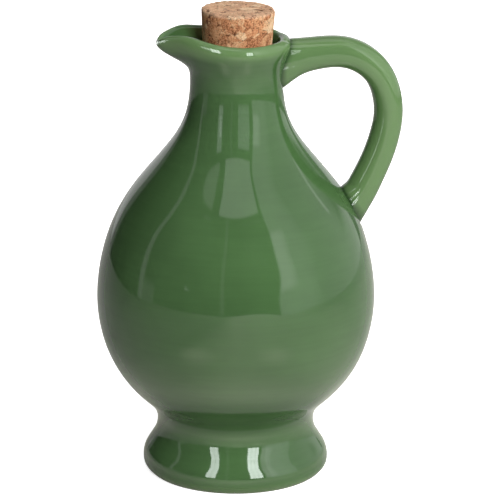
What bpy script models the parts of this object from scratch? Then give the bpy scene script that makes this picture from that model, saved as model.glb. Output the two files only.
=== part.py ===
"""Corked oil bottle: a glazed ceramic jug with a pouring lip and one handle, and its cork.

+Z is up. The origin is the centre of the flat underside, the pouring lip points along -X
and the handle along +X. Shapes are worked out in millimetres and scaled to metres.
"""
import math

import bmesh
import bpy
import numpy as np
from mathutils import Vector

MM = 0.001

# Outside of the turned body as radius and height, from the edge of the foot to the rim
OUTLINE = [
    (34.0, 0.0), (36.9, 3.0), (37.3, 5.6), (36.6, 9.0),        # rolled foot
    (32.2, 18.0), (31.55, 22.3), (33.3, 27.0), (38.2, 32.0),   # waist above the foot
    (49.4, 46.0), (55.3, 66.0), (54.0, 88.0), (46.0, 110.0),   # belly
    (30.9, 130.0), (20.7, 146.0), (18.45, 158.0),              # shoulder and neck
    (18.7, 166.0), (20.1, 170.5), (21.3, 174.0),               # flare under the rim
]
RIM_MIDDLE = (19.1, 175.6)     # radius and height of the middle of the rounded rim
RIM_HALF_WIDTH = 2.4
RIM_RISE = 3.4                 # from that middle up to the crest
RIM_INNER_END = math.radians(165)

WALL = 5.0
WALL_FOLLOWS = (18.0, 146.0)   # heights between which the hollow follows the outside
BORE = [(13.6, 153.0), (13.25, 160.0), (13.5, 164.5), (15.0, 170.5)]
FLOOR = 6.5
HOLLOW_CORNER = [(12.0, FLOOR), (20.0, 7.0), (25.5, 10.5)]

# Crest of the pouring lip from its tip back to the round rim: x, y and rise above the rim
LIP_CREST = [
    (-30.9, 0.0, -0.6), (-29.9, 2.6, 0.8), (-26.8, 5.1, 2.3), (-21.6, 9.5, 3.1),
    (-14.8, 14.6, 1.9), (-7.4, 17.8, 0.6), (0.0, 19.1, 0.0),
]
LIP_FOOT_OUTSIDE = 164.5       # height where the lip starts to leave the neck
LIP_FOOT_INSIDE = 167.0

# Centre line of the handle from the neck to the belly: x, z and half thickness
HANDLE_LINE = [
    (22.4, 168.9, 8.2), (25.5, 170.0, 7.2), (31.0, 171.0, 6.45), (38.0, 171.5, 6.2),
    (45.3, 170.5, 6.1), (51.7, 167.2, 5.95), (57.0, 161.7, 5.8), (60.2, 154.0, 5.75),
    (61.1, 145.7, 5.75), (59.7, 136.5, 5.85), (56.5, 127.0, 6.0), (50.6, 114.6, 6.35),
]
HANDLE_HALF_WIDTH = 6.9
HANDLE_SQUARENESS = 2.6        # 2 makes an oval section, more makes it squarer
HANDLE_UPRIGHT_END = 36.0      # x by which the sections have turned square to the line
NECK_FLARE = 0.9               # how steeply the underside runs down into the neck
BELLY_FLARE = 0.35             # the same where the inner face meets the belly

CORK_SEAT = 163.0              # height where the cork wedges in the bore
CORK_SEAT_RADIUS = 12.9
CORK_TOP = 190.0
CORK_BOTTOM = 159.5
CORK_EDGE = 0.6
CORK_TAPER = math.radians(3.6)
CORK_LEAN = math.radians(1.4)

# Mesh: sides round the body, and rings in each stretch of its outline
SIDES = 40
UNDERSIDE_RINGS = 3
LOWER_RINGS = 20
BELLY_PATCH_RINGS = 10         # where the handle lands on the belly
SHOULDER_RINGS = 7
NECK_PATCH_RINGS = 5           # where the handle leaves the neck
RIM_RINGS = 3
BORE_RINGS = 7
HOLLOW_RINGS = 17
FLOOR_RINGS = 2
BELLY_PATCH_HEIGHTS = (97.0, 121.5)
NECK_PATCH_HEIGHTS = (153.5, 174.0)
BELLY_PATCH_HALF_SIDES = 2
NECK_PATCH_HALF_SIDES = 3
HANDLE_SECTIONS = 22
LANDING_LOOPS = 3
CORK_SIDES = 40


def smooth_curve(stations, samples=1601):
    """Points along the natural cubic curve through the stations."""
    points = np.array(stations, dtype=float)
    chord = np.linalg.norm(np.diff(points, axis=0), axis=1)
    knots = np.concatenate([[0.0], np.cumsum(chord)])
    count = len(points)
    slope = np.diff(points, axis=0) / chord[:, None]
    system = np.eye(count)
    right = np.zeros_like(points)
    for i in range(1, count - 1):
        system[i, i - 1:i + 2] = chord[i - 1], 2 * (chord[i - 1] + chord[i]), chord[i]
        right[i] = 6 * (slope[i] - slope[i - 1])
    bend = np.linalg.solve(system, right)
    where = np.linspace(0, knots[-1], samples)
    span = np.clip(np.searchsorted(knots, where, side="right") - 1, 0, count - 2)
    width = chord[span][:, None]
    after = (where - knots[span])[:, None]
    before = width - after
    curve = (bend[span] * before**3 + bend[span + 1] * after**3) / (6 * width)
    curve += (points[span] / width - bend[span] * width / 6) * before
    curve += (points[span + 1] / width - bend[span + 1] * width / 6) * after
    return curve


def eased(value):
    """Smooth step from 0 to 1."""
    value = min(max(value, 0.0), 1.0)
    return value * value * (3 - 2 * value)


class Line:
    """A curve that gives its points by length along it or by height."""

    def __init__(self, curve):
        self.curve = curve
        step = np.linalg.norm(np.diff(curve[:, :2], axis=0), axis=1)
        self.length = np.concatenate([[0.0], np.cumsum(step)])
        self.end = self.length[-1]

    def at(self, length):
        return [float(np.interp(length, self.length, column)) for column in self.curve.T]

    def length_at_height(self, height):
        way = 1 if self.curve[-1, 1] > self.curve[0, 1] else -1
        return float(np.interp(way * height, way * self.curve[:, 1], self.length))

    def steps(self, start, end, count):
        """Points at equal steps after the start, up to and including the end."""
        return [self.at(length) for length in np.linspace(start, end, count + 1)[1:]]


def rim_arc(start, end):
    """The rounded rim between two angles, counted from outward round to inward."""
    angles = np.linspace(start, end, 60)
    radius = RIM_MIDDLE[0] + RIM_HALF_WIDTH * np.cos(angles)
    return np.column_stack([radius, RIM_MIDDLE[1] + RIM_RISE * np.sin(angles)])


def outside_line():
    """The outside of the body from the edge of the foot to the crest of the rim."""
    arc = rim_arc(0.0, math.pi / 2)
    return Line(np.vstack([smooth_curve(OUTLINE + [tuple(arc[0])]), arc[1:]]))


def inside_line(outside):
    """The inside of the body from the crest of the rim down to the flat of its floor."""
    arc = rim_arc(math.pi / 2, RIM_INNER_END)
    wall = []
    for radius, height in OUTLINE:
        if WALL_FOLLOWS[0] <= height <= WALL_FOLLOWS[1]:
            length = outside.length_at_height(height)
            along = np.subtract(outside.at(length + 1), outside.at(length - 1))
            run, climb = along / np.linalg.norm(along)
            wall.append((radius - WALL * climb, height + WALL * run))
    hollow = smooth_curve(HOLLOW_CORNER + wall + BORE + [tuple(arc[-1])])
    return Line(np.vstack([arc[:-1], hollow[::-1]]))


class Body:
    """The turned body as a net of rings and sides, open where the handle joins it."""

    def __init__(self):
        self.outside = outside_line()
        inside = inside_line(self.outside)
        belly_low, belly_high = (self.outside.length_at_height(z) for z in BELLY_PATCH_HEIGHTS)
        neck_low, neck_high = (self.outside.length_at_height(z) for z in NECK_PATCH_HEIGHTS)
        rim_inner = inside.length_at_height(rim_arc(0.0, RIM_INNER_END)[-1][1])
        bore_end = inside.length_at_height(BORE[0][1])
        foot = OUTLINE[0][0]
        floor = HOLLOW_CORNER[0][0]

        self.rings = [(foot * i / UNDERSIDE_RINGS, 0.0) for i in range(UNDERSIDE_RINGS + 1)]
        self.rings += self.outside.steps(0.0, belly_low, LOWER_RINGS)
        self.belly_start = len(self.rings) - 1
        self.rings += self.outside.steps(belly_low, belly_high, BELLY_PATCH_RINGS)
        self.belly_end = len(self.rings) - 1
        self.rings += self.outside.steps(belly_high, neck_low, SHOULDER_RINGS)
        self.neck_start = len(self.rings) - 1
        self.rings += self.outside.steps(neck_low, neck_high, NECK_PATCH_RINGS)
        self.rings += self.outside.steps(neck_high, self.outside.end, RIM_RINGS)
        self.neck_end = len(self.rings) - 1
        self.rings += inside.steps(0.0, rim_inner, RIM_RINGS)
        self.rings += inside.steps(rim_inner, bore_end, BORE_RINGS)
        self.rings += inside.steps(bore_end, inside.end, HOLLOW_RINGS)
        self.rings += [(floor * i / FLOOR_RINGS, FLOOR) for i in reversed(range(FLOOR_RINGS))]

    def spin(self, bm):
        """Spin the outline round +Z, and keep each vertex by its ring and side."""
        ring_of = bm.verts.layers.int.new("ring")
        profile = [bm.verts.new((radius, 0.0, height)) for radius, height in self.rings]
        for number, vert in enumerate(profile):
            vert[ring_of] = number
        edges = [bm.edges.new(pair) for pair in zip(profile, profile[1:])]
        bmesh.ops.spin(bm, geom=profile + edges, cent=(0, 0, 0), axis=(0, 0, 1),
                       angle=2 * math.pi, steps=SIDES, use_merge=True)
        bmesh.ops.remove_doubles(bm, verts=bm.verts, dist=0.001)
        self.net = {}
        for vert in bm.verts:
            side = round(math.atan2(vert.co.y, vert.co.x) * SIDES / (2 * math.pi))
            self.net[vert[ring_of], side % SIDES] = vert

    def open_patch(self, bm, first, last, half):
        """Delete a patch of faces round +X, and give its rim from the first ring on.

        The rim comes as vertices with their bearings from the middle of the patch,
        which run on from -45 degrees at the first corner.
        """
        low, high = min(first, last), max(first, last)
        inner = {self.net[ring, side % SIDES] for ring in range(low, high + 1)
                 for side in range(-half, half + 1)}
        faces = [face for face in bm.faces if all(vert in inner for vert in face.verts)]
        bmesh.ops.delete(bm, geom=faces, context="FACES")
        step = 1 if last > first else -1
        corners = [(ring, half) for ring in range(first, last, step)]
        corners += [(last, side) for side in range(half, -half, -1)]
        corners += [(ring, -half) for ring in range(last, first, -step)]
        corners += [(first, side) for side in range(-half, half)]
        rim = []
        for ring, side in corners:
            across = side / half
            up = 2 * (ring - first) / (last - first) - 1
            bearing = math.atan2(up, across)
            if rim and bearing < rim[-1][1]:
                bearing += 2 * math.pi
            rim.append((self.net[ring, side % SIDES], bearing))
        return rim

    def landing(self, point, direction):
        """Where a line from a point outside first meets the body."""
        reach = np.linspace(0.0, 30.0, 3001)
        x, y, z = (point[i] + reach * direction[i] for i in range(3))
        gap = np.hypot(x, y) - np.interp(z, self.outside.curve[:, 1], self.outside.curve[:, 0])
        hit = int(np.argmax(gap <= 0))
        return Vector((x[hit], y[hit], z[hit]))


class Handle:
    """Sections of the handle square to its centre line, upright near the neck."""

    def __init__(self):
        self.line = Line(smooth_curve(HANDLE_LINE))

    def frame(self, share):
        """Middle, half thickness, outward direction and run of the section at a share."""
        length = self.line.end * share
        x, z, half = self.line.at(length)
        before = self.line.at(max(length - 0.5, 0.0))
        after = self.line.at(min(length + 0.5, self.line.end))
        along = Vector((after[0] - before[0], 0.0, after[1] - before[1])).normalized()
        square = Vector((-along.z, 0.0, along.x))
        turned = eased((x - HANDLE_LINE[0][0]) / (HANDLE_UPRIGHT_END - HANDLE_LINE[0][0]))
        if share > 0.5:
            turned = 1.0
        outward = Vector((0.0, 0.0, 1.0)).lerp(square, turned).normalized()
        return Vector((x, 0.0, z)), half, outward, along

    def point(self, share, bearing):
        """The point of a section at a bearing, where 90 degrees faces outward."""
        middle, half, outward, _ = self.frame(share)
        power = 2 / HANDLE_SQUARENESS
        across = math.copysign(abs(math.cos(bearing)) ** power, math.cos(bearing))
        up = math.copysign(abs(math.sin(bearing)) ** power, math.sin(bearing))
        return middle + outward * (half * up) + Vector((0.0, HANDLE_HALF_WIDTH * across, 0.0))

    def foot(self, body, share, bearing, run, flare):
        """Where a point of an end section meets the body, its inner face flaring out."""
        outward = self.frame(share)[2]
        spread = flare * min(math.sin(bearing), 0.0)
        return body.landing(self.point(share, bearing), (run + outward * spread).normalized())


def loop_edges(bm, loop):
    return [bm.edges.get((loop[i - 1], loop[i])) for i in range(len(loop))]


def extend(bm, loop, places):
    """Extrude a closed loop of vertices, and put the new loop at its places."""
    made = bmesh.ops.extrude_edge_only(bm, edges=loop_edges(bm, loop))["geom"]
    fresh = {item for item in made if isinstance(item, bmesh.types.BMVert)}
    new = []
    for vert, place in zip(loop, places):
        twin = next(edge.other_vert(vert) for edge in vert.link_edges if edge.other_vert(vert) in fresh)
        twin.co = place
        new.append(twin)
    return new


def add_handle(bm, body):
    """Draw the handle out of the neck, bend it over and join it to the belly."""
    handle = Handle()
    neck = body.open_patch(bm, body.neck_start, body.neck_end, NECK_PATCH_HALF_SIDES)
    belly = body.open_patch(bm, body.belly_end, body.belly_start, BELLY_PATCH_HALF_SIDES)

    to_neck = Vector((-1.0, 0.0, 0.0))
    root = [handle.foot(body, 0.0, bearing, to_neck, NECK_FLARE) for _, bearing in neck]
    loop = extend(bm, [vert for vert, _ in neck], root)
    for number in range(HANDLE_SECTIONS + 1):
        share = number / HANDLE_SECTIONS
        bearings = [a + share * (b - a) for (_, a), (_, b) in zip(neck, belly)]
        loop = extend(bm, loop, [handle.point(share, bearing) for bearing in bearings])

    leaving = [vert.co.copy() for vert in loop]
    down = handle.frame(1.0)[3]
    foot = [handle.foot(body, 1.0, bearing, down, BELLY_FLARE) for _, bearing in belly]
    for number in range(1, LANDING_LOOPS + 1):
        part = number / LANDING_LOOPS
        loop = extend(bm, loop, [a.lerp(b, part) for a, b in zip(leaving, foot)])
    rim_edges = loop_edges(bm, [vert for vert, _ in belly])
    bmesh.ops.bridge_loops(bm, edges=loop_edges(bm, loop) + rim_edges)


class LipCrest:
    """How far each side of the round rim is carried out to make the pouring lip."""

    def __init__(self):
        far_side = [(x, -y, rise) for x, y, rise in reversed(LIP_CREST[1:])]
        whole = smooth_curve(far_side + LIP_CREST)
        self.line = Line(whole[len(whole) // 2:])
        self.spread = 1 - RIM_MIDDLE[0] * math.pi / 2 / self.line.end

    def shift(self, angle):
        """Offset in x, y and z of the crest at an angle round from the tip of the lip."""
        share = abs(angle) / (math.pi / 2)
        if share >= 1:
            return Vector((0.0, 0.0, 0.0))
        x, y, rise = self.line.at(self.line.end * (share + self.spread * share * (1 - share)))
        side = math.copysign(1.0, angle)
        start = Vector((-math.cos(angle), math.sin(angle), 0.0)) * RIM_MIDDLE[0]
        return Vector((x, y * side, rise)) - start


def form_lip(bm):
    """Carry the neck and rim out into the pouring lip, outside and inside alike."""
    crest = RIM_MIDDLE[1] + RIM_RISE
    lip = LipCrest()
    for vert in bm.verts:
        radius = math.hypot(vert.co.x, vert.co.y)
        if vert.co.z < LIP_FOOT_OUTSIDE or vert.co.x > 0:
            continue
        outer = eased((radius - RIM_MIDDLE[0]) / (2 * RIM_HALF_WIDTH) + 0.5)
        foot = LIP_FOOT_INSIDE + (LIP_FOOT_OUTSIDE - LIP_FOOT_INSIDE) * outer
        share = eased((vert.co.z - foot) / (crest - foot))
        vert.co += share * lip.shift(math.atan2(vert.co.y, -vert.co.x))


def finish_object(bm, name, material):
    """Turn the mesh into a smooth shaded object in metres."""
    bmesh.ops.scale(bm, vec=(MM, MM, MM), verts=bm.verts)
    bmesh.ops.recalc_face_normals(bm, faces=bm.faces)
    mesh = bpy.data.meshes.new(name)
    bm.to_mesh(mesh)
    bm.free()
    mesh.shade_smooth()
    mesh.set_sharp_from_angle(angle=math.radians(40))
    mesh.materials.append(material)
    made = bpy.data.objects.new(name, mesh)
    bpy.context.scene.collection.objects.link(made)
    return made


def make_material(name, color, roughness):
    material = bpy.data.materials.new(name)
    material.use_nodes = True
    shader = material.node_tree.nodes["Principled BSDF"]
    shader.inputs["Base Color"].default_value = (*color, 1.0)
    shader.inputs["Roughness"].default_value = roughness
    shader.inputs["Metallic"].default_value = 0.0
    return material


def make_bottle():
    bm = bmesh.new()
    body = Body()
    body.spin(bm)
    add_handle(bm, body)
    form_lip(bm)
    return finish_object(bm, "bottle", make_material("green_glaze", (0.075, 0.2, 0.06), 0.08))


def make_cork():
    """A tapered stopper, turned about the point where it wedges and leaning a little."""
    bm = bmesh.new()
    low, high = CORK_BOTTOM - CORK_SEAT, CORK_TOP - CORK_SEAT
    widen = math.tan(CORK_TAPER)
    radius_low, radius_high = CORK_SEAT_RADIUS + low * widen, CORK_SEAT_RADIUS + high * widen
    outline = [
        (0.0, low), (radius_low - CORK_EDGE, low), (radius_low, low + CORK_EDGE),
        (radius_high, high - CORK_EDGE), (radius_high - CORK_EDGE, high), (0.0, high),
    ]
    profile = [bm.verts.new((radius, 0.0, height)) for radius, height in outline]
    edges = [bm.edges.new(pair) for pair in zip(profile, profile[1:])]
    bmesh.ops.spin(bm, geom=profile + edges, cent=(0, 0, 0), axis=(0, 0, 1),
                   angle=2 * math.pi, steps=CORK_SIDES, use_merge=True)
    bmesh.ops.remove_doubles(bm, verts=bm.verts, dist=0.001)
    cork = finish_object(bm, "cork", make_material("pressed_cork", (0.45, 0.25, 0.12), 0.85))
    cork.location = (0.0, 0.0, CORK_SEAT * MM)
    cork.rotation_euler = (0.0, CORK_LEAN, 0.0)
    return cork


def main():
    for leftover in list(bpy.data.objects):
        bpy.data.objects.remove(leftover, do_unlink=True)
    make_bottle()
    make_cork()


main()
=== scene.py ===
import math

import bmesh
import bpy
import numpy as np
from mathutils import Matrix, Vector, noise


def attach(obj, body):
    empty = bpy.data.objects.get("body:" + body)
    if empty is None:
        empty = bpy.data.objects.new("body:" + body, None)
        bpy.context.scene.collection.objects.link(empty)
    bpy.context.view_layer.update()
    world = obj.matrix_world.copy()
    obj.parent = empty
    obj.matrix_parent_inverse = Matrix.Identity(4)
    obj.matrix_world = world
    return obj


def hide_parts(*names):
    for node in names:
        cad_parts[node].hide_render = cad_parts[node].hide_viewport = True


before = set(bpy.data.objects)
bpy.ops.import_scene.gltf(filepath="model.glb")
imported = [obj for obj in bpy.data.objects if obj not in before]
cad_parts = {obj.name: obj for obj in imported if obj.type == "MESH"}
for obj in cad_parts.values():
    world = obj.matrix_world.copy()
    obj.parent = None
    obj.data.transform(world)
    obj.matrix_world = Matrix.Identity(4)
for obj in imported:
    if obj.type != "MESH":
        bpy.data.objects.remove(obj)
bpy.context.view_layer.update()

# Corked oil bottle: shapes are worked out in millimetres and scaled to metres at the end.
mm = 0.001


def smoothCurve(stations, samples=1601):
    # points along the natural cubic curve through the stations
    points = np.array(stations, dtype=float)
    chord = np.linalg.norm(np.diff(points, axis=0), axis=1)
    knots = np.concatenate([[0.0], np.cumsum(chord)])
    count = len(points)
    slope = np.diff(points, axis=0) / chord[:, None]
    system = np.eye(count)
    right = np.zeros_like(points)
    for i in range(1, count - 1):
        system[i, i - 1:i + 2] = chord[i - 1], 2 * (chord[i - 1] + chord[i]), chord[i]
        right[i] = 6 * (slope[i] - slope[i - 1])
    bend = np.linalg.solve(system, right)
    where = np.linspace(0, knots[-1], samples)
    span = np.clip(np.searchsorted(knots, where, side="right") - 1, 0, count - 2)
    width = chord[span][:, None]
    after = (where - knots[span])[:, None]
    before = width - after
    curve = (bend[span] * before**3 + bend[span + 1] * after**3) / (6 * width)
    curve += (points[span] / width - bend[span] * width / 6) * before
    curve += (points[span + 1] / width - bend[span + 1] * width / 6) * after
    return curve


def eased(value):
    value = min(max(value, 0.0), 1.0)
    return value * value * (3 - 2 * value)


def blended(a, b, share):
    return a + (b - a) * share


def lengthsOf(curve):
    step = np.linalg.norm(np.diff(curve[:, :2], axis=0), axis=1)
    return np.concatenate([[0.0], np.cumsum(step)])


bottleShape = {
    # outside as radius and height, from the edge of the foot to the rim
    "outline": [
        (34.6, 0.0), (36.9, 2.4), (37.3, 4.9), (37.05, 7.3), (36.25, 9.5), (35.15, 11.3),
        (33.85, 13.4), (32.68, 15.4), (31.98, 17.2), (31.62, 19.2), (31.5, 21.5), (33.5, 27.0),
        (38.45, 32.0), (49.4, 46.0), (55.3, 66.0), (54.0, 88.0), (46.0, 110.0), (30.9, 130.0),
        (20.7, 146.0), (18.45, 158.0), (18.7, 166.0), (20.1, 170.5), (21.3, 174.0),
    ],
    "underside": [(0.0, 1.3), (27.5, 1.3), (29.4, 0.9), (30.6, 0.15), (31.4, 0.0), (34.6, 0.0)],
    "rimMiddle": (19.1, 175.6),
    "rimHalfWidth": 2.4,
    "rimRise": 3.4,
    "rimInnerEnd": math.radians(165),
    "wall": 5.0,
    "wallFollows": (18.0, 146.0),
    "bore": [(13.6, 153.0), (13.25, 160.0), (13.5, 164.5), (15.0, 170.5)],
    "hollowCorner": [(12.0, 6.5), (20.0, 7.0), (25.5, 10.5)],
    "sides": 80,
    "bellyPatch": (93.0, 124.0),      # heights round the foot of the handle
    "neckPatch": (152.0, 1.9),        # height, and how far past the crest of the rim
    "bellyHalfSides": 4,
    "neckHalfSides": 6,
    "bellyRings": 18,
    "neckRings": 14,
    "footRounding": 1.2,              # rings lie close together this far round the foot's edge
    "footReach": 14.0,                # and are fine over its bulge, this far past the edge
    "waistReach": 40.0,               # over the waist, this far past it
    "mouthReach": 24.0,               # and down inside the mouth, this far past the rim
    # how far the turned surface strays, and over what distance
    "wobbles": [(0.11, 34.0), (0.08, 13.0)],
    "jointRipple": (0.14, 2.4),
    # shallow dents left by the fingers: place, depth and size
    "dents": [((19.8, -44.7, 104.3), 0.25, 6.0), ((13.7, -52.7, 85.7), 0.15, 3.5)],
    "trueBelow": (1.5, 6.0),          # all this sets in above here, over this height
}

lipShape = {
    # crest of the pouring lip from its tip back to the round rim: x, y and rise
    "crest": [
        (-30.9, 0.0, -0.6), (-29.9, 2.6, 0.8), (-26.8, 5.1, 2.3), (-21.6, 9.5, 3.1),
        (-14.8, 14.6, 1.9), (-7.4, 17.8, 0.6), (0.0, 19.1, 0.0),
    ],
    "footOutside": 164.5,
    "footInside": 167.0,
}

handleShape = {
    # centre line from the neck to the belly: x, z and half thickness
    "line": [
        (22.4, 168.9, 8.2), (25.5, 170.0, 7.2), (31.0, 171.0, 6.45), (38.0, 171.5, 6.2),
        (45.3, 170.5, 6.1), (51.7, 167.2, 5.95), (57.0, 161.7, 5.8), (60.2, 154.0, 5.75),
        (61.1, 145.7, 5.75), (59.7, 136.5, 5.85), (56.5, 127.0, 6.0), (50.6, 114.6, 6.35),
    ],
    "halfWidth": 6.9,
    "outerSquareness": 2.35,
    "innerSquareness": (2.7, 2.05),   # under the arch, and lower down where the inside is bevelled
    "bevelled": (0.35, 0.65),
    "uprightEnd": 36.0,
    "neckFlare": 0.9,
    "bellyFlare": 0.35,
    "sections": 58,
    "filletReach": 0.6,               # how far the rounding of a joint reaches either side
    "nextLoop": 2.2,                  # the loop after it lies this many times as far out
    "mostOnBody": (0.25, 0.5),        # but neither farther than these shares of the way
    "mostOnHandle": (0.15, 0.3),
    "restOnHandle": (0.45, 0.72),
    "seamDepth": 0.6,
    "seamSearch": (30.0, 6001),       # how far, and in how many steps, the body is looked for
}


class Profile:
    # the whole turned line: underside, outside, over the rim and down the inside
    def __init__(self, shape):
        self.shape = shape
        rimUp = self.rimArc(0.0, math.pi / 2)
        rimDown = self.rimArc(math.pi / 2, shape["rimInnerEnd"])
        outside = np.vstack([smoothCurve(shape["outline"] + [tuple(rimUp[0])]), rimUp[1:]])
        underside = np.array(shape["underside"])
        inside = np.vstack([rimDown[:-1], self.hollow(outside, tuple(rimDown[-1]))])
        self.points = np.vstack([underside, outside[1:], inside[1:]])
        self.length = lengthsOf(self.points)
        self.footEdge = self.length[len(underside) - 1]
        self.crest = self.length[len(underside) + len(outside) - 2]
        self.rimInner = self.length[len(underside) + len(outside) - 2 + len(rimDown) - 1]
        self.end = self.length[-1]
        self.isOutside = (self.length >= self.footEdge) & (self.length <= self.crest)

    def rimArc(self, start, end):
        angles = np.linspace(start, end, 60)
        middle = self.shape["rimMiddle"]
        radius = middle[0] + self.shape["rimHalfWidth"] * np.cos(angles)
        return np.column_stack([radius, middle[1] + self.shape["rimRise"] * np.sin(angles)])

    def hollow(self, outside, rimEnd):
        length = lengthsOf(outside)
        low, high = self.shape["wallFollows"]
        wall = []
        for radius, height in self.shape["outline"]:
            if low <= height <= high:
                here = np.interp(height, outside[:, 1], length)
                ahead = np.array([np.interp(here + 1, length, outside[:, i]) for i in (0, 1)])
                behind = np.array([np.interp(here - 1, length, outside[:, i]) for i in (0, 1)])
                run, climb = (ahead - behind) / np.linalg.norm(ahead - behind)
                wall.append((radius - self.shape["wall"] * climb, height + self.shape["wall"] * run))
        curve = smoothCurve(self.shape["hollowCorner"] + wall + self.shape["bore"] + [rimEnd])
        return curve[::-1]

    def place(self, length):
        return (float(np.interp(length, self.length, self.points[:, 0])),
                float(np.interp(length, self.length, self.points[:, 1])))

    def lengthOutside(self, height):
        return float(np.interp(height, self.points[self.isOutside, 1], self.length[self.isOutside]))

    def radiusOutside(self, heights):
        return np.interp(heights, self.points[self.isOutside, 1], self.points[self.isOutside, 0])

    def surface(self, length, angle):
        radius, height = self.place(length)
        return Vector((radius * math.cos(angle), radius * math.sin(angle), height))


def ringLengths(profile, shape):
    # lengths along the profile where the rings of the net lie, and where the patches start and end
    bellyLow, bellyHigh = (profile.lengthOutside(z) for z in shape["bellyPatch"])
    neckLow = profile.lengthOutside(shape["neckPatch"][0])
    neckHigh = profile.crest + shape["neckPatch"][1]
    flat = shape["underside"][1][0]
    edge, rounding = profile.footEdge, shape["footRounding"]
    # where each stretch of the net ends, and how many rings it has
    stretches = [
        (flat, 3), (edge - rounding, 7), (edge + rounding, 4), (edge + shape["footReach"], 10),
        (edge + shape["waistReach"], 15), (bellyLow, 24), (bellyHigh, shape["bellyRings"]),
        (neckLow, 16), (neckHigh, shape["neckRings"]), (profile.rimInner, 3),
        (profile.rimInner + shape["mouthReach"], 16), (profile.end, 30),
    ]
    lengths = [0.0]
    marks = {}
    for end, count in stretches:
        lengths += list(np.linspace(lengths[-1], end, count + 1)[1:])
        marks[end] = len(lengths) - 1
    # and the last ones close the floor of the hollow
    lengths += [profile.end + step for step in (4.0, 8.0, 12.0)]
    return lengths, {"bellyStart": marks[bellyLow], "bellyEnd": marks[bellyHigh],
                     "neckStart": marks[neckLow], "neckEnd": marks[neckHigh]}


def spinLine(bm, line, steps):
    # turn a line of vertices round the axis, and join what falls together
    edges = [bm.edges.new(pair) for pair in zip(line, line[1:])]
    bmesh.ops.spin(bm, geom=line + edges, cent=(0, 0, 0), axis=(0, 0, 1),
                   angle=2 * math.pi, steps=steps, use_merge=True)
    bmesh.ops.remove_doubles(bm, verts=bm.verts, dist=0.001)


def spinBody(bm, profile, shape, lengths):
    # spin the profile round, and keep each vertex by its ring and side
    ringOf = bm.verts.layers.int.new("ring")
    line = []
    for number, length in enumerate(lengths):
        radius, height = profile.place(length)
        radius = max(radius - max(length - profile.end, 0.0), 0.0)
        vert = bm.verts.new((radius, 0.0, height))
        vert[ringOf] = number
        line.append(vert)
    spinLine(bm, line, shape["sides"])
    net = {}
    for vert in bm.verts:
        side = round(math.atan2(vert.co.y, vert.co.x) * shape["sides"] / (2 * math.pi))
        net[vert[ringOf], side % shape["sides"]] = vert
    return net


def openPatch(bm, net, sides, first, last, half):
    # delete a patch of faces round +X; its rim starts at the corner at -45 degrees
    low, high = min(first, last), max(first, last)
    inner = {net[ring, side % sides] for ring in range(low, high + 1) for side in range(-half, half + 1)}
    faces = [face for face in bm.faces if all(vert in inner for vert in face.verts)]
    bmesh.ops.delete(bm, geom=faces, context="FACES")
    step = 1 if last > first else -1
    corners = [(ring, half) for ring in range(first, last, step)]
    corners += [(last, side) for side in range(half, -half, -1)]
    corners += [(ring, -half) for ring in range(last, first, -step)]
    corners += [(first, side) for side in range(-half, half)]
    rim = []
    for ring, side in corners:
        bearing = math.atan2(2 * (ring - first) / (last - first) - 1, side / half)
        if rim and bearing < rim[-1]["bearing"]:
            bearing += 2 * math.pi
        rim.append({"vert": net[ring, side % sides], "bearing": bearing,
                    "ring": ring, "angle": side * 2 * math.pi / sides})
    return rim


def loopEdges(bm, loop):
    return [bm.edges.get((loop[i - 1], loop[i])) for i in range(len(loop))]


def extend(bm, loop, places):
    # extrude a closed loop of vertices, and put the new loop at its places
    made = bmesh.ops.extrude_edge_only(bm, edges=loopEdges(bm, loop))["geom"]
    fresh = {item for item in made if isinstance(item, bmesh.types.BMVert)}
    new = []
    for vert, place in zip(loop, places):
        twin = next(edge.other_vert(vert) for edge in vert.link_edges if edge.other_vert(vert) in fresh)
        twin.co = place
        new.append(twin)
    return new


class Handle:
    def __init__(self, shape):
        self.shape = shape
        self.curve = smoothCurve(shape["line"])
        self.length = lengthsOf(self.curve)

    def at(self, length):
        return [float(np.interp(length, self.length, column)) for column in self.curve.T]

    def frame(self, share):
        # middle, half thickness, outward direction and run of the section at a share
        end = self.length[-1]
        x, z, half = self.at(end * share)
        before, after = self.at(max(end * share - 0.5, 0.0)), self.at(min(end * share + 0.5, end))
        along = Vector((after[0] - before[0], 0.0, after[1] - before[1])).normalized()
        square = Vector((-along.z, 0.0, along.x))
        start = self.shape["line"][0][0]
        turned = 1.0 if share > 0.5 else eased((x - start) / (self.shape["uprightEnd"] - start))
        outward = Vector((0.0, 0.0, 1.0)).lerp(square, turned).normalized()
        return Vector((x, 0.0, z)), half, outward, along

    def point(self, share, bearing):
        # 90 degrees faces outward; the inner half has a shape of its own
        middle, half, outward, _ = self.frame(share)
        up, across = math.sin(bearing), math.cos(bearing)
        start, end = self.shape["bevelled"]
        squareness = blended(*self.shape["innerSquareness"], eased((share - start) / (end - start)))
        if up > 0:
            squareness = self.shape["outerSquareness"]
        across = math.copysign(abs(across) ** (2 / squareness), across)
        up = math.copysign(abs(up) ** (2 / squareness), up)
        return middle + outward * (half * up) + Vector((0.0, self.shape["halfWidth"] * across, 0.0))

    def seam(self, profile, share, bearing, run, flare):
        # length and angle where a point of an end section meets the body
        start = self.point(share, bearing)
        outward = self.frame(share)[2]
        direction = (run + outward * (flare * min(math.sin(bearing), 0.0))).normalized()
        reach = np.linspace(0.0, *self.shape["seamSearch"])
        x, y, z = (start[i] + reach * direction[i] for i in range(3))
        hit = int(np.argmax(np.hypot(x, y) <= profile.radiusOutside(z)))
        return profile.lengthOutside(z[hit]), math.atan2(y[hit], x[hit])


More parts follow.
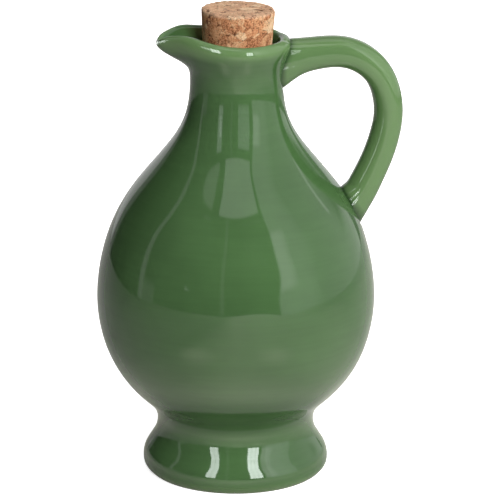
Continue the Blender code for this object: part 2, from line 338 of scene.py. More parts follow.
def jointLoops(profile, rim, lengths, seams, reach):
    # loops on the body from the patch's rim to the seam, close together at the seam
    loops = [[], [], [], []]
    for corner, (seamLength, seamAngle) in zip(rim, seams):
        run = lengths[corner["ring"]] - seamLength
        turn = corner["angle"] - seamAngle
        radius = profile.place(seamLength)[0]
        near = reach / math.hypot(run, turn * radius)
        most = handleShape["mostOnBody"]
        nearer, near = min(near, most[0]), min(handleShape["nextLoop"] * near, most[1])
        for loop, share in zip(loops, ((1 + near) / 2, near, nearer, 0.0)):
            loop.append(profile.surface(seamLength + run * share, seamAngle + turn * share))
        inward = Vector((-math.cos(seamAngle), -math.sin(seamAngle), 0.0))
        loops[-1][-1] += inward * handleShape["seamDepth"]
    return loops


def handleLoops(seam, section, reach):
    # loops on the handle from the seam to its end section, close together at the seam
    gaps = [(p - s).length for s, p in zip(seam, section)]
    steps = zip((1.0, handleShape["nextLoop"]), handleShape["mostOnHandle"])
    shares = [[min(step * reach / gap, most) for gap in gaps] for step, most in steps]
    shares += [[share] * len(gaps) for share in handleShape["restOnHandle"]]
    return [[s.lerp(p, share) for s, p, share in zip(seam, section, row)] for row in shares]


def addHandle(bm, profile, net, shape, marks, lengths):
    handle = Handle(handleShape)
    sides, reach = shape["sides"], handleShape["filletReach"]
    neck = openPatch(bm, net, sides, marks["neckStart"], marks["neckEnd"], shape["neckHalfSides"])
    belly = openPatch(bm, net, sides, marks["bellyEnd"], marks["bellyStart"], shape["bellyHalfSides"])

    neckSeams = [handle.seam(profile, 0.0, c["bearing"], Vector((-1, 0, 0)), handleShape["neckFlare"])
                 for c in neck]
    down = handle.frame(1.0)[3]
    bellySeams = [handle.seam(profile, 1.0, c["bearing"], down, handleShape["bellyFlare"]) for c in belly]

    loop = [corner["vert"] for corner in neck]
    for places in jointLoops(profile, neck, lengths, neckSeams, reach):
        loop = extend(bm, loop, places)
    neckSeam = [vert.co.copy() for vert in loop]

    sections = []
    for number in range(handleShape["sections"] + 1):
        share = number / handleShape["sections"]
        bearings = [blended(a["bearing"], b["bearing"], share) for a, b in zip(neck, belly)]
        sections.append([handle.point(share, bearing) for bearing in bearings])
    bellyLoops = jointLoops(profile, belly, lengths, bellySeams, reach)
    bellySeam = bellyLoops[-1]
    for places in handleLoops(neckSeam, sections[0], reach) + sections:
        loop = extend(bm, loop, places)
    for places in handleLoops(bellySeam, sections[-1], reach)[::-1] + bellyLoops[::-1]:
        loop = extend(bm, loop, places)
    rimEdges = loopEdges(bm, [corner["vert"] for corner in belly])
    bmesh.ops.bridge_loops(bm, edges=loopEdges(bm, loop) + rimEdges)
    return neckSeam + bellySeam


def formLip(bm, shape, lip):
    # carry the neck and rim out into the pouring lip, outside and inside alike
    farSide = [(x, -y, rise) for x, y, rise in reversed(lip["crest"][1:])]
    whole = smoothCurve(farSide + lip["crest"])
    crest = whole[len(whole) // 2:]
    length = lengthsOf(crest)
    middle, half = shape["rimMiddle"], shape["rimHalfWidth"]
    top = middle[1] + shape["rimRise"]
    spread = 1 - middle[0] * math.pi / 2 / length[-1]
    for vert in bm.verts:
        if vert.co.z < lip["footOutside"] or vert.co.x > -1e-4:
            continue
        radius = math.hypot(vert.co.x, vert.co.y)
        angle = math.atan2(vert.co.y, -vert.co.x)
        share = abs(angle) / (math.pi / 2)
        along = length[-1] * (share + spread * share * (1 - share))
        x, y, rise = (float(np.interp(along, length, crest[:, i])) for i in range(3))
        start = Vector((-math.cos(angle), math.sin(angle), 0.0)) * middle[0]
        shift = Vector((x, y * math.copysign(1.0, angle), rise)) - start
        outer = eased((radius - middle[0]) / (2 * half) + 0.5)
        foot = blended(lip["footInside"], lip["footOutside"], outer)
        vert.co += eased((vert.co.z - foot) / (top - foot)) * shift


glazeMarks = {
    "poolAndShadeReach": 1.5,                 # how far from a joint the glaze runs together and its painted crease shade reaches
    "jointReach": 3.0,                # the ripple reaches this many times as far
    "bare": (0.1, 30.5),              # bare clay below this height and beyond this radius
    "inside": (150.0, 21.0),          # the mouth: above this height, and short of the handle
    # painted shade inside the mouth: from this height down, in full after this far, and by this share
    "insideShade": (177.0, 3.5, 0.8),
    "rim": (172.2, 3.5),              # thin glaze over the rim, partly painted light: from this height, in full after this far
    "neckTop": 172.0,                 # above this the body counts as wide as it is here
    # thin glaze on the handle, with painted light: beyond this X, and this far off the body, in full
    # after this far
    "handle": (10.0, 0.1, 0.9),
    "handleThinAndLit": (0.72, 38.0, 20.0),  # by this share, which grows as painted light from the right beyond this X, over this far
    "foot": (5.0, 4.0),               # painted light bounced from the table onto the foot: below this height, in full after this far
}


def markGlaze(bm, profile, seams):
    # where the glaze pools in the joints, with painted shade there and inside the mouth, where it runs
    # thin, with painted light on the rim, the handle and the foot, and where the clay is bare
    marks = ("pooledAndShaded", "thinAndLit", "bare", "nearJoint")
    pooledAndShadedOf, thinAndLitOf, bareOf, nearJoint = (bm.verts.layers.float.new(name) for name in marks)
    bm.normal_update()
    look = glazeMarks
    reach = look["poolAndShadeReach"]
    bareBelow, bareBeyond = look["bare"]
    mouthFrom, handleFrom = look["inside"]
    darkFrom, darkOver, dark = look["insideShade"]
    nearHandle, offBody, offOver = look["handle"]
    leastThinAndLit, litFrom, litOver = look["handleThinAndLit"]
    seamArray = np.array([tuple(point) for point in seams])
    for vert in bm.verts:
        gap = float(np.min(np.linalg.norm(seamArray - np.array(vert.co), axis=1)))
        # glaze pooled in the joints, darkened further as painted shade in the creases
        vert[pooledAndShadedOf] = math.exp(-(gap / reach) ** 2)
        vert[nearJoint] = math.exp(-(gap / (look["jointReach"] * reach)) ** 2)
        radius, height = math.hypot(vert.co.x, vert.co.y), vert.co.z
        vert[bareOf] = 1.0 if height < bareBelow and radius > bareBeyond else 0.0
        facesIn = vert.normal.x * vert.co.x + vert.normal.y * vert.co.y < 0
        isInside = facesIn and height > mouthFrom and vert.co.x < handleFrom
        # painted shade inside the mouth, carried in the same mark as the pooled glaze
        if isInside:
            vert[pooledAndShadedOf] = max(vert[pooledAndShadedOf], dark * eased((darkFrom - height) / darkOver))
        # thin glaze over the rim, partly painted light
        overRim = 0.0 if isInside else eased((height - look["rim"][0]) / look["rim"][1])
        standsOut = radius - float(profile.radiusOutside(min(height, look["neckTop"])))
        onHandle = eased((standsOut - offBody) / offOver) if vert.co.x > nearHandle else 0.0
        # painted light from the right, growing along the handle's outer curve
        onHandle *= leastThinAndLit + (1 - leastThinAndLit) * eased((vert.co.x - litFrom) / litOver)
        # painted light bounced up from the table at the foot
        paintedFootLight = eased((look["foot"][0] - height) / look["foot"][1])
        vert[thinAndLitOf] = max(overRim, onHandle, paintedFootLight)


def ruffle(bm, shape):
    # the hand-finished surface strays a little from the true turned form
    bm.normal_update()
    nearJoint = bm.verts.layers.float["nearJoint"]
    still, over = shape["trueBelow"]
    moves = []
    for vert in bm.verts:
        stray = sum(noise.noise(vert.co / size) * far for far, size in shape["wobbles"])
        far, size = shape["jointRipple"]
        stray += noise.noise(vert.co / size) * far * vert[nearJoint]
        for place, depth, size in shape["dents"]:
            stray -= depth * math.exp(-((vert.co - Vector(place)).length / size) ** 2)
        moves.append(vert.normal * (stray * eased((vert.co.z - still) / over)))
    for vert, move in zip(bm.verts, moves):
        vert.co += move


def finishPiece(bm, name, material, levels):
    bmesh.ops.scale(bm, vec=(mm, mm, mm), verts=bm.verts)
    bmesh.ops.recalc_face_normals(bm, faces=bm.faces)
    mesh = bpy.data.meshes.new(name)
    bm.to_mesh(mesh)
    bm.free()
    mesh.shade_smooth()
    mesh.materials.append(material)
    piece = bpy.data.objects.new(name, mesh)
    bpy.context.scene.collection.objects.link(piece)
    if levels:
        rounding = piece.modifiers.new("rounding", "SUBSURF")
        rounding.levels = levels
        rounding.render_levels = levels
    return piece


def makeBottle(material):
    profile = Profile(bottleShape)
    lengths, marks = ringLengths(profile, bottleShape)
    bm = bmesh.new()
    net = spinBody(bm, profile, bottleShape, lengths)
    seams = addHandle(bm, profile, net, bottleShape, marks, lengths)
    formLip(bm, bottleShape, lipShape)
    bmesh.ops.recalc_face_normals(bm, faces=bm.faces)
    markGlaze(bm, profile, seams)
    ruffle(bm, bottleShape)
    piece = finishPiece(bm, "glazedBottle", material, 1)
    print("bottle:", len(piece.data.polygons), "faces before rounding")
    return piece


corkShape = {
    "seed": 4,                        # the same grain each time
    "seat": 163.0,                    # height where the cork wedges in the bore
    "seatRadius": 12.9,
    "top": 190.0,
    "bottom": 159.5,
    "edge": 0.7,
    "taper": math.radians(3.6),
    "lean": math.radians(1.4),
    "sides": 250,
    "showsFrom": 170.0,
    "grain": 0.36,                    # spacing of the net where the cork shows
    "granule": 3.3,                   # size of the pressed granules
    "crumb": 1.2,                     # and of the crumbs between them
    "groove": (0.3, 0.26),            # width and depth of the grooves between granules
    "crumbGroove": (0.2, 0.17),       # and of those between crumbs
    "crumbHollow": 0.7,               # how dark those are beside the others
    "step": 0.11,                     # how far one granule stands out from the next
    "crumbStep": 0.1,
    "crumbShows": 0.4,                # how much of a crumb's own tone shows
    "warp": (0.8, 0.42),              # size and strength of the bends in the granules' borders
    # patches that crumble and that crack: size, place in the noise, contrast and bias
    "crumbly": (3.1, (9, 9, 9), 1.6, 0.6),
    "cracked": (2.3, (2, 6, 4), 2.4, 0.45),
    "chipDepth": 0.525,               # how much has crumbled off the top edge
    "chipReach": 1.6,
    "chips": (1.7, (5, 1, 2), 0.25),  # size, place in the noise and bias of the chips
    "smoothBelow": (4.0, 3.0),        # all this sets in this far above the seat, over this height
    "gougeRagged": (0.9, 0.35),       # size and strength of the ragged edges of the gouges
    "gougeSteep": (1.8, 2.2),         # how steeply they deepen and darken from the edge
    # gouges in the top: place, turn in degrees, half length, half width, depth
    "gouges": [
        ((7.7, -2.4), -38, 3.2, 1.3, 0.55), ((5.2, 3.0), 10, 2.2, 1.0, 0.4),
        ((-6.9, -6.1), 30, 1.7, 1.2, 0.45), ((-0.6, -1.8), -10, 1.6, 0.8, 0.35),
        ((12.4, -1.9), 60, 1.3, 0.9, 0.4), ((-12.6, -3.4), 80, 3.6, 0.8, 0.4),
        ((-3.4, 5.5), 10, 2.0, 0.8, 0.35),
    ],
}


def corkRadius(shape, height):
    return shape["seatRadius"] + height * math.tan(shape["taper"])


def corkProfile(shape):
    low, high = shape["bottom"] - shape["seat"], shape["top"] - shape["seat"]
    shows = shape["showsFrom"] - shape["seat"]
    edge, grain = shape["edge"], shape["grain"]
    line = [(share * (corkRadius(shape, low) - edge), low) for share in np.linspace(0, 1, 7)]
    line += [(corkRadius(shape, height), height) for height in np.linspace(low + edge, shows, 8)]
    count = round((high - edge - shows) / grain)
    rings = np.linspace(shows, high - edge, count + 1)[1:]
    line += [(corkRadius(shape, height), height) for height in rings]
    line += [(corkRadius(shape, high) - edge * (1 - math.cos(turn)), high - edge * (1 - math.sin(turn)))
             for turn in np.radians([30, 60, 90])]
    rest = corkRadius(shape, high) - edge
    line += [(radius, high) for radius in np.linspace(rest, 0, round(rest / grain) + 1)[1:]]
    return line


def granuleAt(point, size):
    # the tone, from 0 to 1, of the granule that a point lies in, and how far off its border is
    bendSize, bend = corkShape["warp"]
    warped = point / size + Vector(noise.noise_vector(point / (size * bendSize))) * bend
    distances, centers = noise.voronoi(warped)
    # each granule's centre picks its tone from far across the cell noise
    tone = noise.cell(centers[0] * 91.7 + Vector((3.1, 7.7, 5.3)))
    if tone < 0:
        tone = 0.5 + 0.5 * tone
    return tone, (distances[1] - distances[0]) * size


def patchAt(place, size, offset, contrast, bias):
    # how much of a patchy change there is at a place, from 0 to 1
    return eased(noise.noise(place / size + Vector(offset)) * contrast + bias)


def gougeAt(place, shape):
    # how deep the gouges in the top go at a place, and how dark they are there
    depth, hollow = 0.0, 0.0
    size, ragged = shape["gougeRagged"]
    deepens, darkens = shape["gougeSteep"]
    for (x, y), turn, halfLength, halfWidth, gougeDepth in shape["gouges"]:
        away = Matrix.Rotation(-math.radians(turn), 2) @ Vector((place.x - x, place.y - y))
        away.y += ragged * noise.noise(place / size)
        inside = 1 - math.hypot(away.x / halfLength, away.y / halfWidth)
        if inside > 0:
            depth += gougeDepth * eased(inside * deepens)
            hollow = max(hollow, eased(inside * darkens))
    return depth, hollow


def makeCork(material):
    shape = corkShape
    noise.seed_set(shape["seed"])
    bm = bmesh.new()
    line = [bm.verts.new((radius, 0.0, height)) for radius, height in corkProfile(shape)]
    spinLine(bm, line, shape["sides"])
    bmesh.ops.recalc_face_normals(bm, faces=bm.faces)
    bm.normal_update()
    toneOf = bm.verts.layers.float.new("tone")
    hollowOf = bm.verts.layers.float.new("hollow")
    high = shape["top"] - shape["seat"]
    (grooveWidth, grooveDepth), (crumbWidth, crumbDepth) = shape["groove"], shape["crumbGroove"]
    chipSize, chipPlace, chipBias = shape["chips"]
    smooth, over = shape["smoothBelow"]
    moves = []
    for vert in bm.verts:
        place = vert.co.copy()
        tone, border = granuleAt(place, shape["granule"])
        crumbTone, crumbBorder = granuleAt(place + Vector((40, 0, 0)), shape["crumb"])
        crumbly = patchAt(place, *shape["crumbly"])
        groove = eased(1 - border / grooveWidth) * patchAt(place, *shape["cracked"])
        crumbGroove = eased(1 - crumbBorder / crumbWidth) * crumbly
        depth = grooveDepth * groove + crumbDepth * crumbGroove
        depth += shape["step"] * (0.5 - tone) + shape["crumbStep"] * (0.5 - crumbTone) * crumbly
        hollow = max(groove, crumbGroove * shape["crumbHollow"])
        if place.z > high - 0.05:
            gougeDepth, gougeHollow = gougeAt(place, shape)
            depth += gougeDepth
            hollow = max(hollow, gougeHollow)
        inward = corkRadius(shape, high) - math.hypot(place.x, place.y)
        rimGap = math.hypot(max(high - place.z, 0.0), max(inward, 0.0))
        chipped = max(noise.noise(place / chipSize + Vector(chipPlace)) + chipBias, 0.0)
        depth += shape["chipDepth"] * (eased(1 - rimGap / shape["chipReach"]) * chipped)
        showing = eased((place.z - smooth) / over)
        vert[toneOf] = blended(tone, crumbTone, shape["crumbShows"] * crumbly)
        vert[hollowOf] = hollow
        moves.append(vert.normal * (-depth * showing))
    for vert, move in zip(bm.verts, moves):
        vert.co += move
    bmesh.ops.rotate(bm, cent=(0, 0, 0), matrix=Matrix.Rotation(shape["lean"], 3, "Y"), verts=bm.verts)
    bmesh.ops.translate(bm, vec=(0, 0, shape["seat"]), verts=bm.verts)
    piece = finishPiece(bm, "pressedCork", material, 0)
    print("cork:", len(piece.data.polygons), "faces")
    return piece


def addNode(tree, kind, settings=None, **values):
    node = tree.nodes.new(kind)
    for name, value in (settings or {}).items():
        setattr(node, name, value)
    for name, value in values.items():
        node.inputs[name.replace("_", " ")].default_value = value
    return node


def makeMaterial(name):
    material = bpy.data.materials.new(name)
    material.use_nodes = True
    return material, material.node_tree, material.node_tree.nodes["Principled BSDF"]


def mixColors(tree, factor, first, second, blend="MIX"):
    node = addNode(tree, "ShaderNodeMix", {"data_type": "RGBA", "blend_type": blend})
    for socket, value in zip((node.inputs[0], node.inputs[6], node.inputs[7]), (factor, first, second)):
        if isinstance(value, bpy.types.NodeSocket):
            tree.links.new(value, socket)
        elif socket == node.inputs[0]:
            socket.default_value = value
        else:
            socket.default_value = (*value, 1.0)
    return node.outputs[2]


def mapRange(tree, value, fromLow, fromHigh, toLow=0.0, toHigh=1.0, kind="SMOOTHSTEP"):
    node = addNode(tree, "ShaderNodeMapRange", {"interpolation_type": kind})
    tree.links.new(value, node.inputs["Value"])
    for socket, number in zip(("From Min", "From Max", "To Min", "To Max"),
                              (fromLow, fromHigh, toLow, toHigh)):
        node.inputs[socket].default_value = number
    return node.outputs["Result"]


def combine(tree, operation, first, second=None):
    node = addNode(tree, "ShaderNodeMath", {"operation": operation})
    for socket, value in zip(node.inputs, (first, second)):
        if isinstance(value, bpy.types.NodeSocket):
            tree.links.new(value, socket)
        elif value is not None:
            socket.default_value = value
    return node.outputs[0]


def rampOf(tree, factor, stops):
    ramp = addNode(tree, "ShaderNodeValToRGB")
    while len(ramp.color_ramp.elements) < len(stops):
        ramp.color_ramp.elements.new(0.5)
    for element, (place, color) in zip(ramp.color_ramp.elements, stops):
        element.position = place
        element.color = (*color, 1.0)
    tree.links.new(factor, ramp.inputs["Fac"])
    return ramp.outputs["Color"]


def noiseOf(tree, coordinates, scale, detail=2.0, roughness=0.5):
    node = addNode(tree, "ShaderNodeTexNoise", Scale=scale, Detail=detail, Roughness=roughness)
    tree.links.new(coordinates, node.inputs["Vector"])
    return node.outputs["Fac"]


def attributeOf(tree, name):
    return addNode(tree, "ShaderNodeAttribute", {"attribute_name": name}).outputs["Fac"]


def addBump(tree, shader, height, strength, distance):
    bump = addNode(tree, "ShaderNodeBump", Strength=strength, Distance=distance)
    tree.links.new(height, bump.inputs["Height"])
    tree.links.new(bump.outputs["Normal"], shader.inputs["Normal"])


glazeLook = {
    "body": (0.068, 0.150, 0.050),
    "deep": (0.017, 0.050, 0.012),    # where the glaze lies thick, also the painted shade in the joints and inside the mouth
    "thinAndLit": (0.132, 0.238, 0.088),    # thin glaze over the rim and the handle, and the painted light there and at the foot
    "clay": (0.52, 0.44, 0.35),
    "clouds": (26.0, 3.0),            # scale and detail of the faint clouds in the glaze
    "clouded": (0.35, 0.7, 0.0, 0.25),
    "brushing": (45.0, 45.0, 620.0),  # the fine marks of the brush run round the bottle
    "brushNoise": (1.0, 3.0, 0.6),
    "brushed": (0.3, 0.7, 0.0, 0.09),
    "roughness": 0.055,
    "clayRoughness": 0.75,
    "ior": 1.52,
    "ripples": (55.0, 1.0),           # scale and detail of the soft unevenness
    "rippled": (0.25, 0.0004),        # and its strength and height
}


def glazeMaterial():
    look = glazeLook
    material, tree, shader = makeMaterial("greenGlaze")
    coordinates = addNode(tree, "ShaderNodeTexCoord").outputs["Object"]
    pooledAndShaded, bare, thinAndLit = (attributeOf(tree, name) for name in ("pooledAndShaded", "bare", "thinAndLit"))
    cloud = mapRange(tree, noiseOf(tree, coordinates, *look["clouds"]), *look["clouded"])
    color = mixColors(tree, cloud, look["body"], look["deep"])
    stretched = addNode(tree, "ShaderNodeMapping")
    stretched.inputs["Scale"].default_value = look["brushing"]
    tree.links.new(coordinates, stretched.inputs["Vector"])
    strokes = noiseOf(tree, stretched.outputs[0], *look["brushNoise"])
    color = mixColors(tree, mapRange(tree, strokes, *look["brushed"]), color, look["deep"])
    # thin glaze, and painted light on the rim, the handle and the foot
    color = mixColors(tree, thinAndLit, color, look["thinAndLit"])
    # pooled glaze, with painted shade in the joints and inside the mouth
    color = mixColors(tree, pooledAndShaded, color, look["deep"])
    color = mixColors(tree, bare, color, look["clay"])
    tree.links.new(color, shader.inputs["Base Color"])
    roughness = mapRange(tree, bare, 0.2, 0.8, look["roughness"], look["clayRoughness"])
    tree.links.new(roughness, shader.inputs["Roughness"])
    shader.inputs["IOR"].default_value = look["ior"]
    addBump(tree, shader, noiseOf(tree, coordinates, *look["ripples"]), *look["rippled"])
    return material


corkLook = {
    "dark": (0.26, 0.100, 0.042),
    "red": (0.58, 0.240, 0.110),
    "tan": (0.70, 0.370, 0.185),
    "pale": (0.86, 0.600, 0.370),
    "groove": (0.085, 0.030, 0.014),
    "top": (0.90, 0.700, 0.510),
    "tones": (0.10, 0.24, 0.48, 0.78),  # where dark, red, tan and pale come in
    "granuleShare": 0.7,              # how much of a place's tone is its granule's
    "flecks": (1500.0, 4.0, 0.7),     # scale, detail and roughness of the fine grain
    "flecked": (0.36, 0.64),
    "pits": (700.0, 4.0, 0.8),        # and of the dark specks
    "pitted": (0.32, 0.43, 0.55, 0.0),
    "hollowed": (0.1, 0.9, 0.0, 0.85),
    "topPale": (0.1885, 0.1896, 0.0, 0.32),  # the cut top: heights, and how much paler
    "roughness": 0.85,
    "shine": 0.25,
    "grain": (0.5, 0.0002),           # strength and height of the fine grain
}


def corkMaterial():
    look = corkLook
    material, tree, shader = makeMaterial("pressedCorkGrain")
    coordinates = addNode(tree, "ShaderNodeTexCoord").outputs["Object"]
    tone, hollow = (attributeOf(tree, name) for name in ("tone", "hollow"))
    fleck = mapRange(tree, noiseOf(tree, coordinates, *look["flecks"]), *look["flecked"])
    share = look["granuleShare"]
    fromFleck = combine(tree, "MULTIPLY", fleck, 1 - share)
    shade = combine(tree, "ADD", fromFleck, combine(tree, "MULTIPLY", tone, share))
    colors = (look[name] for name in ("dark", "red", "tan", "pale"))
    color = rampOf(tree, shade, list(zip(look["tones"], colors)))
    height = addNode(tree, "ShaderNodeSeparateXYZ")
    tree.links.new(coordinates, height.inputs[0])
    color = mixColors(tree, mapRange(tree, height.outputs["Z"], *look["topPale"]), color, look["top"])
    pits = mapRange(tree, noiseOf(tree, coordinates, *look["pits"]), *look["pitted"])
    color = mixColors(tree, pits, color, look["groove"])
    color = mixColors(tree, mapRange(tree, hollow, *look["hollowed"]), color, look["groove"])
    tree.links.new(color, shader.inputs["Base Color"])
    shader.inputs["Roughness"].default_value = look["roughness"]
    shader.inputs["Specular IOR Level"].default_value = look["shine"]
    addBump(tree, shader, fleck, *look["grain"])
    return material


stageSet = {
    "turned": 8.5,                    # seen this many degrees off its front, towards the lip
    "distance": 1.476,
    "height": 0.5372,
    "tilt": 16.82,
    "lens": 277.74,
    "sensor": 36.0,
    "sees": 50.0,                     # how far the camera sees
    "aside": 0.218,                   # the camera looks this many degrees past the bottle
    "roll": 0.218,
}

tableSet = {
    "radius": 0.95,
    "sides": 128,
    "roughness": 0.6,
    "color": (0.86, 0.85, 0.83),
    "seenGlow": 0.9,                  # keeps the table pale where the camera sees it
    "shade": 0.62,                    # how pale it is for the light that it throws back
    # how bright the glaze mirrors it, by its distance left or right of the bottle
    "mirrored": [(-0.50, 0.10), (-0.12, 0.16), (0.0, 0.81), (0.15, 0.60), (0.60, 0.25)],
    "behind": (-0.06, 0.10, 1.0, 0.34),  # over these depths it falls from one share to the other
    # the bottle's own shade round its foot: where it is full, where it is gone, and what it leaves
    "besideFoot": (0.036, 0.068, 0.15),
    # to the right the glaze mirrors it only this far out: over which distances how much goes,
    # and where that side begins on either axis
    "endsAt": (0.56, 0.60, 0.0, 0.85),
    "endsOn": {"X": (0.05, 0.15), "Y": (-0.36, -0.2)},
    "tint": (1.0, 0.97, 0.80),
    # paler patches: azimuth, distance, size and how much paler
    "patches": [(-28, 0.155, 0.05, 0.65), (29, 0.155, 0.05, 0.65), (5, 0.05, 0.07, 0.6)],
}

# pale things round the room as the glaze mirrors them: azimuths from the camera side and how soft
# those two edges are, elevations and how soft those are, and the brightness
roomLights = [
    ((40, 46), (4, 22), (8, 38), (12, 12), 3.0),
    ((40, 60), (4, 45), (-5, 60), (1, 10), 1.7),
    ((40, 112), (4, 30), (-5, 66), (1, 12), 1.2),
    ((100, 143), (8, 3), (-5, 6), (1, 14), 1.15),
    ((116, 118.5), (1, 1), (23, 33), (5, 2), 2.2),
    ((-25, 33), (1, 1), (56.5, 90), (2, 1), 2.0),
    ((-61, -39), (4, 2), (56.5, 90), (2, 1), 1.1),
    ((-12, -10), (2, 1), (-4, 54), (1, 4), 0.6),
    ((-88, -85), (2, 2), (-4, 46), (2, 6), 0.9),
    ((-86, -74), (3, 4), (-10, 0), (2, 8), 0.6),
    ((152, 218), (2, 6), (-10, 60), (6, 10), 0.35),
    ((130, 230), (10, 10), (56, 80), (8, 5), 1.2),
    ((154, 210), (2, 8), (-7, 16), (2, 14), 1.0),
]
roomBase = {"left": 0.05, "right": 0.2, "rise": (-125, -60)}

# lamps that light the surfaces, all aimed at the belly: azimuth, elevation, distance, size and power
lampTarget = (0.0, 0.0, 0.09)
softLamps = [
    (23, 31, 1.7, 0.7, 23.5),
    (68, 30, 1.7, 0.9, 11.0),
    (-40, 35, 1.7, 0.7, 1.4),
    (10, 70, 1.7, 0.7, 2.0),
    (150, 16, 1.7, 0.9, 15.0),
    (-172, 16, 1.7, 0.9, 9.0),
]

# bright strips that only part of the glaze mirrors: stacks of narrow panels aimed at that part,
# each with its azimuth, width in degrees, elevations, aim (right, front, up), distance from it,
# spread and strength
strips = {
    "footLeft": (-30, 13, (3, 52), (-0.009, 0.035, 0.012), 0.2, 27, 0.70),
    "footRight": (26, 18, (3, 52), (0.008, 0.035, 0.012), 0.2, 27, 0.90),
    "footSide": (62, 40, (-4, 52), (0.023, 0.028, 0.010), 0.2, 27, 0.05),
    "neckLeft": (-37, 11, (0, 46), (-0.006, 0.019, 0.146), 0.2, 20, 0.06),
    "neckRight": (17, 27, (0, 46), (0.003, 0.020, 0.146), 0.2, 20, 0.05),
    "rimLeft": (-24, 14, (4, 36), (-0.006, 0.020, 0.1775), 0.2, 10, 0.15),
    "rimFarLeft": (-38, 14, (8, 32), (-0.010, 0.019, 0.1785), 0.1, 6, 0.04),
    "rimRight": (28, 16, (0, 36), (0.006, 0.020, 0.177), 0.2, 10, 0.14),
    "lipCrest": (-82, 16, (18, 44), (-0.0255, 0.0105, 0.180), 0.1, 12, 0.014),
    "lipTip": (-108, 86, (-24, 6), (-0.0300, 0.0072, 0.178), 0.06, 4, 0.05),
    "neckJoint": (9, 8, (17, 42), (0.0219, 0.0029, 0.1730), 0.06, 4, 0.014),
    "neckJointLow": (16, 6, (-23, -15), (0.0197, 0.0038, 0.1667), 0.06, 4, 0.010),
    "handle": (-46, 5, (-6, 30), (0.053, -0.001, 0.123), 0.2, 26, 0.3),
    "bellyJoint": (-14, 9, (3, 12), (0.0478, -0.0005, 0.114), 0.06, 4, 0.045),
    "bellyJointLow": (4, 9, (-14, -4), (0.0478, -0.0002, 0.111), 0.06, 4, 0.045),
}
stripSet = {
    "panel": 5.5,                     # about how wide and high a panel is, in degrees
    "tint": (0.93, 1.0, 0.97),
}


def towards(azimuth, elevation):
    # direction from the bottle, with the azimuth counted from the camera side
    around, up = math.radians(azimuth - stageSet["turned"]), math.radians(elevation)
    return Vector((math.sin(around) * math.cos(up), -math.cos(around) * math.cos(up), math.sin(up)))


def addCamera(stage):
    camera = bpy.data.objects.new("camera", bpy.data.cameras.new("camera"))
    bpy.context.scene.collection.objects.link(camera)
    place = towards(0, 0) * stage["distance"]
    place.z = stage["height"]
    heading = -math.radians(stage["turned"] + stage["aside"])
    camera.matrix_world = (Matrix.Translation(place) @ Matrix.Rotation(heading, 4, "Z")
                           @ Matrix.Rotation(math.radians(90 - stage["tilt"]), 4, "X")
                           @ Matrix.Rotation(math.radians(stage["roll"]), 4, "Z"))
    camera.data.lens = stage["lens"]
    camera.data.sensor_width = stage["sensor"]
    camera.data.clip_end = stage["sees"]
    bpy.context.scene.camera = camera


def mirroredGlow(tree, table):
    # how bright the glaze mirrors each part of the table
    turned = addNode(tree, "ShaderNodeMapping")
    turned.inputs["Rotation"].default_value[2] = math.radians(stageSet["turned"])
    tree.links.new(addNode(tree, "ShaderNodeTexCoord").outputs["Object"], turned.inputs["Vector"])
    across = addNode(tree, "ShaderNodeSeparateXYZ")
    tree.links.new(turned.outputs[0], across.inputs[0])
    wide = table["mirrored"][-1][0]
    share = mapRange(tree, across.outputs["X"], -wide, wide, kind="LINEAR")
    grays = [(0.5 + place / (2 * wide), (value,) * 3) for place, value in table["mirrored"]]
    glow = rampOf(tree, share, grays)
    for azimuth, distance, size, paler in table["patches"]:
        gap = addNode(tree, "ShaderNodeVectorMath", {"operation": "DISTANCE"})
        tree.links.new(turned.outputs[0], gap.inputs[0])
        gap.inputs[1].default_value = (distance * math.sin(math.radians(azimuth)),
                                       -distance * math.cos(math.radians(azimuth)), 0.0)
        glow = combine(tree, "ADD", glow, mapRange(tree, gap.outputs["Value"], 0.0, size, paler, 0.0))
    far = addNode(tree, "ShaderNodeVectorMath", {"operation": "LENGTH"})
    tree.links.new(turned.outputs[0], far.inputs[0])
    ends = mapRange(tree, far.outputs["Value"], *table["endsAt"])
    for axis, (low, high) in table["endsOn"].items():
        ends = combine(tree, "MULTIPLY", ends, mapRange(tree, across.outputs[axis], low, high))
    glow = combine(tree, "MULTIPLY", glow, combine(tree, "SUBTRACT", 1.0, ends))
    near, clear, dark = table["besideFoot"]
    glow = combine(tree, "MULTIPLY", glow, mapRange(tree, far.outputs["Value"], near, clear, dark, 1.0))
    beyond = mapRange(tree, across.outputs["Y"], *table["behind"])
    return combine(tree, "MULTIPLY", glow, beyond)


def tableMaterial(table):
    material, tree, shader = makeMaterial("paleTable")
    material.cycles.emission_sampling = "NONE"
    path = addNode(tree, "ShaderNodeLightPath")
    fromCamera, fromGlaze = path.outputs["Is Camera Ray"], path.outputs["Is Glossy Ray"]
    dim = tuple(channel * table["shade"] for channel in table["color"])
    tree.links.new(mixColors(tree, fromCamera, dim, table["color"]), shader.inputs["Base Color"])
    shader.inputs["Roughness"].default_value = table["roughness"]
    shader.inputs["Specular IOR Level"].default_value = 0.0
    tint = mixColors(tree, fromCamera, table["tint"], (1.0, 1.0, 1.0))
    tree.links.new(tint, shader.inputs["Emission Color"])
    glow = combine(tree, "MULTIPLY", mirroredGlow(tree, table), fromGlaze)
    seen = combine(tree, "MULTIPLY", fromCamera, table["seenGlow"])
    tree.links.new(combine(tree, "ADD", glow, seen), shader.inputs["Emission Strength"])
    return material


def addTable(table):
    bm = bmesh.new()
    bmesh.ops.create_circle(bm, cap_ends=True, segments=table["sides"], radius=table["radius"])
    mesh = bpy.data.meshes.new("table")
    bm.to_mesh(mesh)
    bm.free()
    mesh.materials.append(tableMaterial(table))
    top = bpy.data.objects.new("table", mesh)
    bpy.context.scene.collection.objects.link(top)


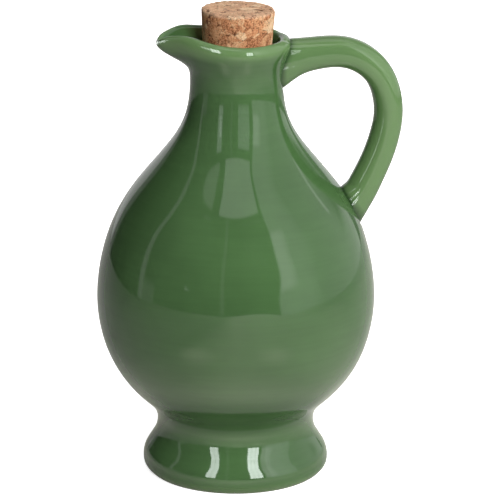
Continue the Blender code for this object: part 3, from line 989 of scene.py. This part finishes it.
def addLamp(name, place, target, width, height, power):
    data = bpy.data.lights.new(name, "AREA")
    data.shape = "RECTANGLE"
    data.size, data.size_y = width, height
    data.energy = power
    lamp = bpy.data.objects.new(name, data)
    lamp.location = place
    lamp.rotation_euler = (target - place).to_track_quat("-Z", "Y").to_euler()
    lamp.visible_camera = False
    bpy.context.scene.collection.objects.link(lamp)
    return lamp


def addLamps():
    middle = Vector(lampTarget)
    for number, (azimuth, elevation, distance, size, power) in enumerate(softLamps):
        place = middle + towards(azimuth, elevation) * distance
        made = addLamp(f"softLamp{number}", place, middle, size, size, power)
        made.visible_glossy = False
    for name in strips:
        addStrip(name, *strips[name])


def addStrip(name, azimuth, width, elevations, aim, distance, spread, strength):
    right, front, up = aim
    spot = towards(90, 0) * right + towards(0, 0) * front + Vector((0.0, 0.0, up))
    height = elevations[1] - elevations[0]
    columns, rows = (max(round(angle / stripSet["panel"]), 1) for angle in (width, height))
    wide, tall = width / columns, height / rows
    size = [2 * distance * math.tan(math.radians(angle / 2)) for angle in (wide, tall)]
    for row in range(rows):
        for column in range(columns):
            around = azimuth + wide * (column + 0.5) - width / 2
            above = elevations[0] + tall * (row + 0.5)
            place = spot + towards(around, above) * distance
            across = size[0] * math.cos(math.radians(above))
            power = strength * across * size[1]
            made = addLamp(f"{name}_{row}_{column}", place, spot, across, size[1], power)
            made.data.color = stripSet["tint"]
            made.data.spread = math.radians(spread)
            made.visible_diffuse = False


def addRoom():
    world = bpy.data.worlds.new("studio")
    world.use_nodes = True
    bpy.context.scene.world = world
    tree = world.node_tree
    tree.nodes.clear()
    link = tree.links.new
    world.cycles_visibility.diffuse = False

    direction = addNode(tree, "ShaderNodeSeparateXYZ")
    link(addNode(tree, "ShaderNodeTexCoord").outputs["Generated"], direction.inputs[0])
    x, y, z = direction.outputs
    degrees = 180 / math.pi
    elevation = combine(tree, "MULTIPLY", combine(tree, "ARCSINE", z), degrees)
    azimuth = combine(tree, "ARCTAN2", x, combine(tree, "MULTIPLY", y, -1.0))
    azimuth = combine(tree, "ADD", combine(tree, "MULTIPLY", azimuth, degrees), stageSet["turned"])
    isLeft = combine(tree, "LESS_THAN", azimuth, 0.0)
    behind = combine(tree, "ADD", azimuth, combine(tree, "MULTIPLY", isLeft, 360.0))

    total = mapRange(tree, azimuth, *roomBase["rise"], roomBase["left"], roomBase["right"])
    for (low, high), (softLow, softHigh), (bottom, top), (softBottom, softTop), bright in roomLights:
        around = behind if high > 180 else azimuth
        mask = mapRange(tree, around, low - softLow, low, 0.0, bright)
        edges = [(around, high, high + softHigh, 1.0, 0.0),
                 (elevation, bottom - softBottom, bottom, 0.0, 1.0),
                 (elevation, top, top + softTop, 1.0, 0.0)]
        for edge in edges:
            mask = combine(tree, "MULTIPLY", mask, mapRange(tree, *edge))
        total = combine(tree, "MAXIMUM", total, mask)

    room = addNode(tree, "ShaderNodeBackground")
    link(total, room.inputs["Strength"])
    white = addNode(tree, "ShaderNodeBackground", Strength=1.0)
    white.inputs["Color"].default_value = (1, 1, 1, 1)
    seen = addNode(tree, "ShaderNodeMixShader")
    link(addNode(tree, "ShaderNodeLightPath").outputs["Is Camera Ray"], seen.inputs[0])
    link(room.outputs[0], seen.inputs[1])
    link(white.outputs[0], seen.inputs[2])
    link(seen.outputs[0], addNode(tree, "ShaderNodeOutputWorld").inputs["Surface"])


addCamera(stageSet)
addTable(tableSet)
addLamps()
addRoom()
bpy.context.scene.view_settings.view_transform = "Standard"
print("stage: camera, floor and room")

bottle = makeBottle(glazeMaterial())
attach(bottle, "root")
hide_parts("bottle")

cork = makeCork(corkMaterial())
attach(cork, "root")
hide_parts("cork")
